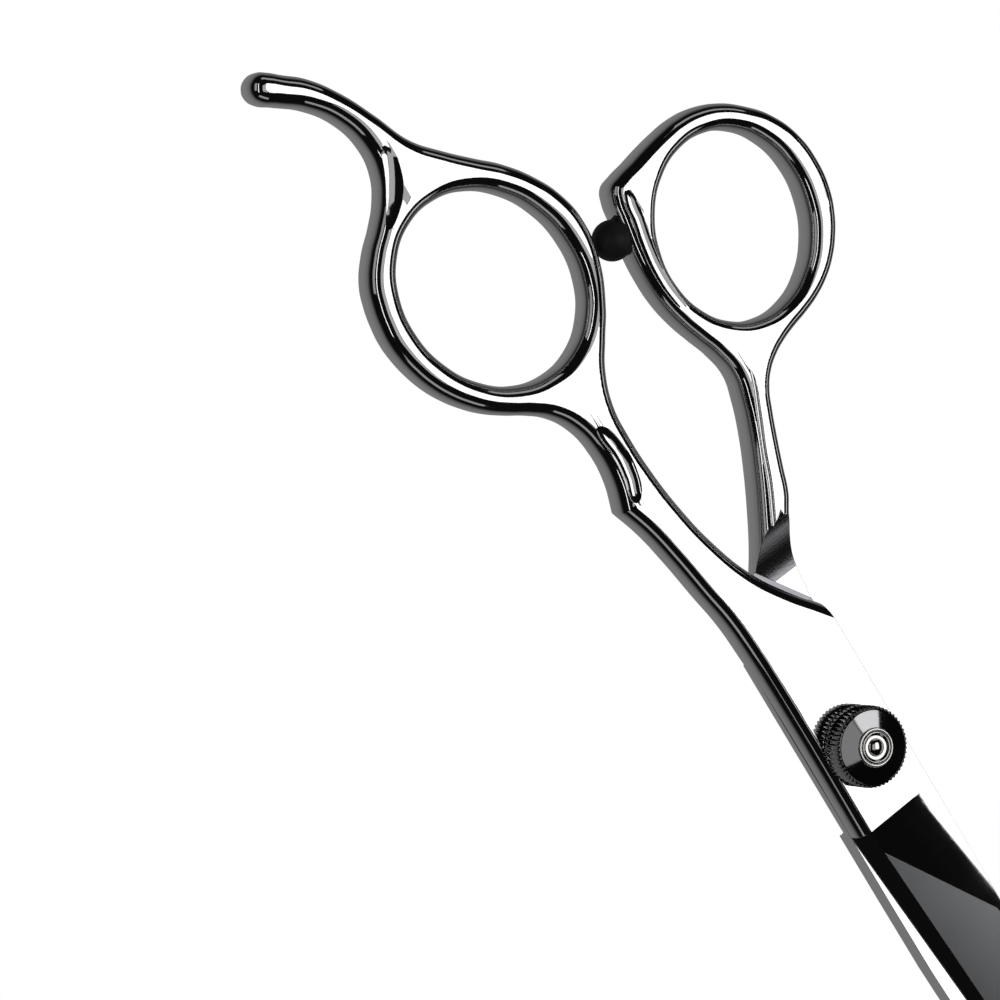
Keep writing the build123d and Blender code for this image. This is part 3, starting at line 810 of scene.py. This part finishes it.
@dataclass
class ThumbHalf:
    """Lower half with the thumb ring, its relief step and its blade."""

    rounding: float = 1.4
    depth: float = 2.1
    ring: Point = (-61.2, 21.4)
    hole: Point = (11.6, 10.35)
    ring_turn: float = -15.0
    step_foot: Point = (-21.6, 0.0)
    step_r: float = 12.0
    drop: float = 2.4
    front_from: Point = (-25.8, 0.3)
    front_dir: Point = (0.823, 0.568)
    socket_r: float = 2.54
    neck_r: float = 2.64
    seat_low: float = 3.54
    side_from: float = -19.0     # where the thinned side of the ride begins
    run_out: float = 1.2         # relief cutter beyond the top of the ramp
    run_out_rise: float = 0.45
    ring_groove: tuple = ((-73.6, 11.7, 8.4), (-71.9, 10.9, 7.55), (-68.9, 10.4, 7.45),
                          (-65.7, 9.7, 7.45), (-62.4, 9.3, 7.45), (-59.3, 9.4, 7.5),
                          (-56.3, 10.0, 7.7), (-53.4, 11.0, 8.4))
    ring_groove_r: float = 1.6
    groove: tuple = ((-48.3, 13.6, 6.75), (-44.9, 12.9, 6.42), (-40.9, 11.2, 6.3), (-36.6, 9.2, 6.3),
                     (-33.2, 7.8, 6.3), (-29.7, 6.0, 6.3), (-26.0, 4.0, 6.3))
    groove_r: float = 0.42

    def outline(self) -> list[Point]:
        """Plan of the handle and ride, anticlockwise from the ride's far corner.

        Returns:
            Points of the outline.
        """
        return [
            (14.0, -RIDE_HALF), (14.0, 9.0), (-11.0, 9.0), (-15.2, 7.0), (-18.8, 6.1), (-21.8, 6.3),
            (-25.2, 7.1), (-28.0, 8.4), (-30.4, 9.9), (-33.6, 11.1), (-37.0, 12.4), (-39.9, 13.6),
            (-42.2, 14.7), (-43.9, 16.1), (-45.1, 17.8), (-45.9, 19.6), (-46.5, 21.6), (-47.0, 23.8),
            (-47.8, 26.4), (-49.0, 28.8), (-50.6, 30.9), (-52.6, 32.7), (-55.0, 34.2), (-58.0, 35.3),
            (-61.4, 35.7), (-65.5, 35.2), (-69.4, 33.4), (-72.2, 30.9), (-74.4, 28.0), (-75.6, 25.0),
            (-76.0, 21.9), (-75.8, 19.1), (-75.4, 16.4), (-74.9, 13.9), (-74.5, 11.6), (-73.9, 9.9),
            (-72.2, 9.0), (-70.1, 8.6), (-65.4, 7.8), (-62.5, 7.6), (-58.6, 7.8), (-55.1, 8.6),
            (-52.1, 9.7), (-49.5, 10.7), (-46.2, 11.3), (-43.1, 10.6), (-39.5, 9.3), (-34.8, 7.1),
            (-30.9, 5.0), (-27.2, 2.8), (-24.2, 0.7), (-17.0, -4.6), (-15.6, -RIDE_HALF)]

    def build(self, finishes: list[bpy.types.Material]) -> bpy.types.Object:
        """Builds the half.

        Args:
            finishes: mirror, hollow ground, wheel ground and milled steel, the last darkened as painted
                shade.

        Returns:
            The shown piece.
        """
        outline = self.outline()
        bar = PlanBar(outline, {0, 1, len(outline) - 1}, [(self.ring, self.hole, self.ring_turn)],
                      THUMB_BASE_Z, HANDLE_T, self.rounding, self.depth).mesh()
        slice_off(bar, Vector((RIDE_END_X, 0, 0)), Vector((1, 0, 0)), 0)
        side = slab([(self.side_from, RIDE_HALF), (30.0, RIDE_HALF), (30.0, 20.0), (self.side_from, 20.0)],
                    0.0, CUT_TOP)
        socket = bmesh.new()
        bmesh.ops.create_uvsphere(socket, u_segments=48, v_segments=24, radius=self.socket_r * MM,
                                  matrix=Matrix.Translation(Vector(BUMPER_AT) * MM))
        neck = plug(self.neck_r, 0.5, 5.0)
        seat = plug(SEAT_R, self.seat_low, 5.0)
        bm = combine(bar, [tube(self.ring_groove, self.ring_groove_r), tube(self.groove, self.groove_r),
                           self._relief(), self._clearance(), side, socket, neck, seat])
        append(bm, GroundBlade().mesh(turned=True))
        obj = link_mesh("thumb_half_polished", bm, finishes)
        weigh_normals(obj)
        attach(obj, Body.THUMB.value)
        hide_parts("thumb_half")
        return obj

    def _clearance(self) -> bmesh.types.BMesh:
        """Cutter that keeps the half clear of the finger half's front wall.

        Returns:
            A closed bmesh with material number 3, the milled steel darkened as painted shade.
        """
        start = Vector(self.front_from)
        along = Vector(self.front_dir)
        side = Vector((along.y, -along.x))
        low, high = start - along * 8, start + along * 20
        corners = [tuple(low), tuple(low + side * 40), tuple(high + side * 40), tuple(high)]
        return slab(corners, PARTING_Z - BLADE_GAP / 2, CUT_TOP, 3)

    def _relief(self) -> bmesh.types.BMesh:
        """Cutter of the machined relief, a hollow ramp down to the ride.

        Returns:
            A closed bmesh with material number 3, the milled steel darkened as painted shade.
        """
        foot = Vector((*self.step_foot, PARTING_Z - BLADE_GAP / 2))
        run = math.sqrt(2 * self.step_r * self.drop - self.drop ** 2)
        top = -run - self.run_out
        profile = [(CUT_REACH, 0.0), (CUT_REACH, 6.0), (top, 6.0), (top, self.drop + self.run_out_rise)]
        for k in range(17):
            s = -run + run * k / 16
            profile.append((s, self.step_r - math.sqrt(self.step_r ** 2 - s ** 2)))
        bm = bmesh.new()
        ring = [bm.verts.new((foot + Vector((s, CUT_REACH / 2, h))) * MM) for s, h in profile]
        face = bm.faces.new(ring)
        swept = bmesh.ops.extrude_face_region(bm, geom=[face], use_keep_orig=True)
        moved = [v for v in swept["geom"] if isinstance(v, bmesh.types.BMVert)]
        bmesh.ops.translate(bm, verts=moved, vec=(0, -CUT_REACH * MM, 0))
        for part in bm.faces:
            part.material_index = 3
            if abs(part.normal.z) > 0.999:
                part.material_index = 0
        return bm


@dataclass
class TensionKnob:
    """Knurled knob with a shallow conical top."""

    radius: float = 5.0
    skirt: float = FACE_Z + 0.15
    rim: float = FACE_Z + 3.55
    crown: float = FACE_Z + 4.52
    recess: float = 4.4
    flutes: int = 54
    flute_depth: float = 0.22
    cone_inset: float = 0.4
    low_edge: float = 0.25
    top_edge: float = 0.45
    bore_edge: float = 0.06
    soft: float = 0.12

    def build(self, finish: bpy.types.Material) -> bpy.types.Object:
        """Builds the knob.

        Args:
            finish: its material.

        Returns:
            The shown piece.
        """
        slope = (self.crown - self.rim) / (self.radius - self.cone_inset)
        at_bore = self.rim + slope * (self.radius - self.cone_inset - INSERT_R)
        corners = [(INSERT_R, WEB_Z), (self.recess, WEB_Z), (self.recess, self.skirt),
                   (self.radius - self.low_edge, self.skirt), (self.radius, self.skirt + self.low_edge),
                   (self.radius, self.rim - self.top_edge), (self.radius - self.top_edge, self.rim),
                   (INSERT_R + self.bore_edge, at_bore), (INSERT_R, at_bore - self.bore_edge)]
        bm = lathe(rounded(corners, {6: self.soft}, 4), self.flutes * 6, ring=True)
        for vert in bm.verts:
            reach = Vector((vert.co.x, vert.co.y)).length / MM
            if reach > self.radius - 0.01:
                phase = math.atan2(vert.co.y, vert.co.x) / math.tau * self.flutes % 1.0
                cut = self.flute_depth * (0.5 - 0.5 * math.cos(math.tau * phase)) ** 0.7
                vert.co.x *= 1 - cut / reach
                vert.co.y *= 1 - cut / reach
        obj = link_mesh("tension_knob_knurled", bm, [finish], 40)
        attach(obj, Body.KNOB.value)
        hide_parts("tension_knob")
        return obj


@dataclass
class TurnedPieces:
    """Small turned pieces on the pivot axis."""

    thread_r: float = 1.79
    insert_top: float = FACE_Z + 4.3
    seat: float = FACE_Z + 3.75
    head_r: float = 2.05
    head_gap: float = 0.04
    shank_r: float = 0.8
    shank: float = 2.4
    dome_r: float = 1.1
    dome_low: float = 0.34
    dome_rise: float = 0.5
    rounds: int = 12             # divisions of the dome
    screw_head_r: float = 4.2
    screw_head_t: float = 0.9

    def insert(self, finish: bpy.types.Material) -> bpy.types.Object:
        """Threaded insert, the bright ring in the middle of the knob.

        Args:
            finish: its material.

        Returns:
            The shown piece.
        """
        inner = self.head_r + self.head_gap
        corners = [(self.thread_r, WEB_Z), (INSERT_R, WEB_Z), (INSERT_R, self.insert_top),
                   (inner, self.insert_top), (inner, self.seat), (self.thread_r, self.seat)]
        bm = lathe(rounded(corners, {2: 0.12, 3: 0.08}, 5), ring=True)
        obj = link_mesh("knob_insert_turned", bm, [finish])
        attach(obj, Body.KNOB.value)
        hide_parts("knob_insert")
        return obj

    def end_screw(self, finish: bpy.types.Material) -> bpy.types.Object:
        """Domed screw that closes the pivot.

        Args:
            finish: its material.

        Returns:
            The shown piece.
        """
        z = self.seat
        dome = z + self.dome_low
        corners = [(0, z - self.shank), (self.shank_r, z - self.shank), (self.shank_r, z),
                   (self.head_r, z), (self.head_r, z + 0.45), (1.78, z + 0.58), (1.5, dome),
                   (self.dome_r, dome)]
        profile = rounded(corners, {4: 0.1, 5: 0.1, 6: 0.08}, 4)
        for k in range(1, self.rounds + 1):
            a = math.radians(90 * k / self.rounds)
            profile.append((self.dome_r * math.cos(a) if k < self.rounds else 0.0,
                            dome + self.dome_rise * math.sin(a)))
        obj = link_mesh("end_screw_turned", lathe(profile), [finish])
        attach(obj, Body.THUMB.value)
        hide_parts("end_screw")
        return obj

    def pivot_screw(self, finish: bpy.types.Material) -> bpy.types.Object:
        """Pivot screw with its low polished head underneath.

        Args:
            finish: its material.

        Returns:
            The shown piece.
        """
        t = self.screw_head_t
        top = self.seat
        head = self.screw_head_r
        washer = 0.3
        hole = top - 2.6
        corners = [(0, 0.12), (2.9, 0.12), (3.0, 0), (3.75, 0), (head, 0.35), (head, t), (2.6, t),
                   (2.6, PARTING_Z - washer), (2.0, PARTING_Z - washer), (2.0, FACE_Z + washer),
                   (1.75, FACE_Z + washer), (1.75, top), (0.84, top), (0.84, hole), (0, hole)]
        profile = rounded(corners, {1: 0.06, 4: 0.2}, 4)
        obj = link_mesh("pivot_screw_turned", lathe(profile), [finish])
        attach(obj, Body.THUMB.value)
        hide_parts("pivot_screw")
        return obj


@dataclass
class Bumper:
    """Rubber ball on its stem, between the rings."""

    radius: float = 2.5
    stem_r: float = 1.0
    stem: float = 4.4

    def build(self, finish: bpy.types.Material) -> bpy.types.Object:
        """Builds the bumper.

        Args:
            finish: its material.

        Returns:
            The shown piece.
        """
        middle = Vector(BUMPER_AT) * MM
        bm = bmesh.new()
        bmesh.ops.create_uvsphere(bm, u_segments=64, v_segments=32, radius=self.radius * MM,
                                  matrix=Matrix.Translation(middle))
        stem = bmesh.new()
        bmesh.ops.create_cone(stem, cap_ends=True, segments=48, radius1=self.stem_r * MM,
                              radius2=self.stem_r * MM, depth=self.stem * MM,
                              matrix=Matrix.Translation(middle + Vector((0, self.stem / 2 * MM, 0)))
                              @ Matrix.Rotation(math.radians(90), 4, "X"))
        obj = link_mesh("bumper_ball", combine(bm, [stem], "UNION"), [finish], 50)
        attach(obj, Body.THUMB.value)
        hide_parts("bumper")
        return obj


# ---- studio -------------------------------------------------------------------------
@dataclass
class Studio:
    """Camera, floor, world and lights."""

    middle: Vector
    camera_at: tuple[float, float, float] = (-0.16273, -0.18818, 0.42656)
    right: tuple[float, float, float] = (0.50516, 0.74950, 0.42791)
    up: tuple[float, float, float] = (-0.82926, 0.55887, 0.0)
    back: tuple[float, float, float] = (-0.23907, -0.35485, 0.90382)
    lens: float = 144.0
    floor_grey: float = 0.17
    dark: float = 0.004
    floor_half: float = 3.0
    floor_drop: float = 0.00002
    side_angle: float = 72.0     # of the side softboxes, from the vertical

    def camera(self) -> None:
        """Places the camera above the handles, tilted and rolled."""
        data = bpy.data.cameras.new("camera")
        data.sensor_width = 36.0
        data.lens = self.lens
        data.clip_start = 0.01
        data.clip_end = 20.0
        cam = bpy.data.objects.new("camera", data)
        bpy.context.collection.objects.link(cam)
        turn = Matrix((self.right, self.up, self.back)).transposed()
        cam.matrix_world = Matrix.Translation(self.camera_at) @ turn.to_4x4()
        bpy.context.scene.camera = cam

    def floor(self) -> None:
        """Plain white floor, clear from below and not mirrored in the steel."""
        bm = bmesh.new()
        bmesh.ops.create_grid(bm, x_segments=1, y_segments=1, size=self.floor_half)
        bmesh.ops.translate(bm, verts=bm.verts, vec=(0, 0, -self.floor_drop))
        mesh = bpy.data.meshes.new("floor")
        bm.to_mesh(mesh)
        bm.free()
        obj = bpy.data.objects.new("floor", mesh)
        bpy.context.collection.objects.link(obj)
        mat = bpy.data.materials.new("floor")
        mat.use_nodes = True
        tree = mat.node_tree
        tree.nodes.clear()
        node, link = tree.nodes.new, tree.links.new
        white = node("ShaderNodeEmission")
        clear = node("ShaderNodeBsdfTransparent")
        facing = node("ShaderNodeNewGeometry")
        mix = node("ShaderNodeMixShader")
        link(facing.outputs["Backfacing"], mix.inputs["Fac"])
        link(white.outputs["Emission"], mix.inputs[1])
        link(clear.outputs["BSDF"], mix.inputs[2])
        out = node("ShaderNodeOutputMaterial")
        link(mix.outputs["Shader"], out.inputs["Surface"])
        obj.visible_glossy = False
        obj.visible_diffuse = False
        mesh.materials.append(mat)
        obj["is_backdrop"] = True

    def world(self) -> None:
        """White surroundings to the eye, nearly dark in reflections."""
        world = bpy.data.worlds.new("world")
        bpy.context.scene.world = world
        world.use_nodes = True
        tree = world.node_tree
        back = tree.nodes["Background"]
        node, link = tree.nodes.new, tree.links.new
        place = node("ShaderNodeTexCoord")
        parts = node("ShaderNodeSeparateXYZ")
        link(place.outputs["Generated"], parts.inputs["Vector"])
        ramp = node("ShaderNodeValToRGB")
        ramp.color_ramp.interpolation = "EASE"
        stops = ramp.color_ramp.elements
        stops[0].position, stops[0].color = 0.0, (self.floor_grey * 1.3,) * 3 + (1,)
        stops[1].position, stops[1].color = 0.42, (self.dark,) * 3 + (1,)
        lower = stops.new(0.16)
        lower.color = (self.floor_grey,) * 3 + (1,)
        height = node("ShaderNodeMapRange")
        height.inputs["From Min"].default_value = -1.0
        link(parts.outputs["Z"], height.inputs["Value"])
        link(height.outputs["Result"], ramp.inputs["Fac"])
        path = node("ShaderNodeLightPath")
        pick = node("ShaderNodeMix")
        pick.data_type = "RGBA"
        pick.inputs["B"].default_value = (1, 1, 1, 1)
        link(ramp.outputs["Color"], pick.inputs["A"])
        link(path.outputs["Is Camera Ray"], pick.inputs["Factor"])
        link(pick.outputs["Result"], back.inputs["Color"])

    def lamp(self, name: str, toward: Vector, size: Point, radiance: float, reach: float,
             upright: Vector) -> None:
        """Adds one softbox.

        Args:
            name: its name.
            toward: direction from the shears to the lamp.
            size: width across and height along upright, in metres.
            radiance: brightness as seen in a mirror.
            reach: distance from the shears.
            upright: direction of its long side.
        """
        data = bpy.data.lights.new(name, "AREA")
        data.shape = "RECTANGLE"
        data.size, data.size_y = size
        data.energy = radiance * math.pi * size[0] * size[1]
        lamp = bpy.data.objects.new(name, data)
        bpy.context.collection.objects.link(lamp)
        back = toward.normalized()
        across = upright.cross(back).normalized()
        along = back.cross(across)
        turn = Matrix((across, along, back)).transposed()
        lamp.matrix_world = Matrix.Translation(self.middle + back * reach) @ turn.to_4x4()

    def lights(self) -> None:
        """Main softbox, one overhead, four low ones around and a strip light at each side."""
        zenith = Vector((0, 0, 1))
        left = Vector((-0.559, -0.829, 0.0))
        upward = Vector(self.up)
        main = Vector((0.239, 0.355, 0.904))
        self.lamp("main_softbox", main + upward * 0.12, (0.5, 0.8), 1.5, 1.2, upward)

        def toward(angle: float, axis: Vector) -> Vector:
            return zenith * math.cos(math.radians(angle)) + axis * math.sin(math.radians(angle))

        self.lamp("overhead_softbox", zenith, (0.5, 0.8), 0.42, 1.2, upward)
        for k in range(4):
            around = math.radians(45 + 90 * k)
            low = toward(self.side_angle, Vector((math.cos(around), math.sin(around), 0.0)))
            self.lamp(f"side_softbox_{k}", low, (1.1, 0.4), 0.3, 1.3, zenith)
        self.lamp("left_strip", toward(50, left), (0.10, 1.5), 1.6, 1.2, upward)
        self.lamp("right_strip", toward(74, -left), (0.05, 1.5), 1.0, 1.2, upward)


def dress(node: str, finish: bpy.types.Material) -> None:
    """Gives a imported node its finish.

    Args:
        node: name of the node.
        finish: its material.
    """
    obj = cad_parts[node]
    obj.data.materials.clear()
    obj.data.materials.append(finish)
    LOG.info("%s: packed shape, %s", node, finish.name)


def main() -> None:
    """Builds the scene."""
    Groups.edge_wear()
    Groups.grind_lines()
    Groups.polish_marks()
    steel = [finish.material() for finish in (MIRROR, HOLLOW, GROUND, RELIEF_PAINTED_SHADE)]
    screw = SCREW.material()
    chrome = CHROME.material()
    spring = SPRING.material()
    turned = TurnedPieces()
    made = [
        FingerHalf().build(steel),
        ThumbHalf().build(steel),
        TensionKnob().build(chrome),
        turned.insert(screw),
        turned.end_screw(screw),
        turned.pivot_screw(screw),
        Bumper().build(RUBBER.material()),
    ]
    for obj in made:
        LOG.info("%s: %d faces", obj.name, len(obj.data.polygons))
    dress("pivot_bush", BRONZE.material())
    plastic = PLASTIC.material()
    dress("ride_washer", plastic)
    dress("friction_washer", plastic)
    for node in ("click_plate", "disc_spring", "click_balls", "click_springs"):
        dress(node, spring)
    low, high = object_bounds()
    studio = Studio(middle=(low + high) / 2)
    studio.camera()
    studio.floor()
    studio.world()
    studio.lights()
    bpy.context.scene.view_settings.view_transform = "Standard"


if __name__ == "__main__":
    main()
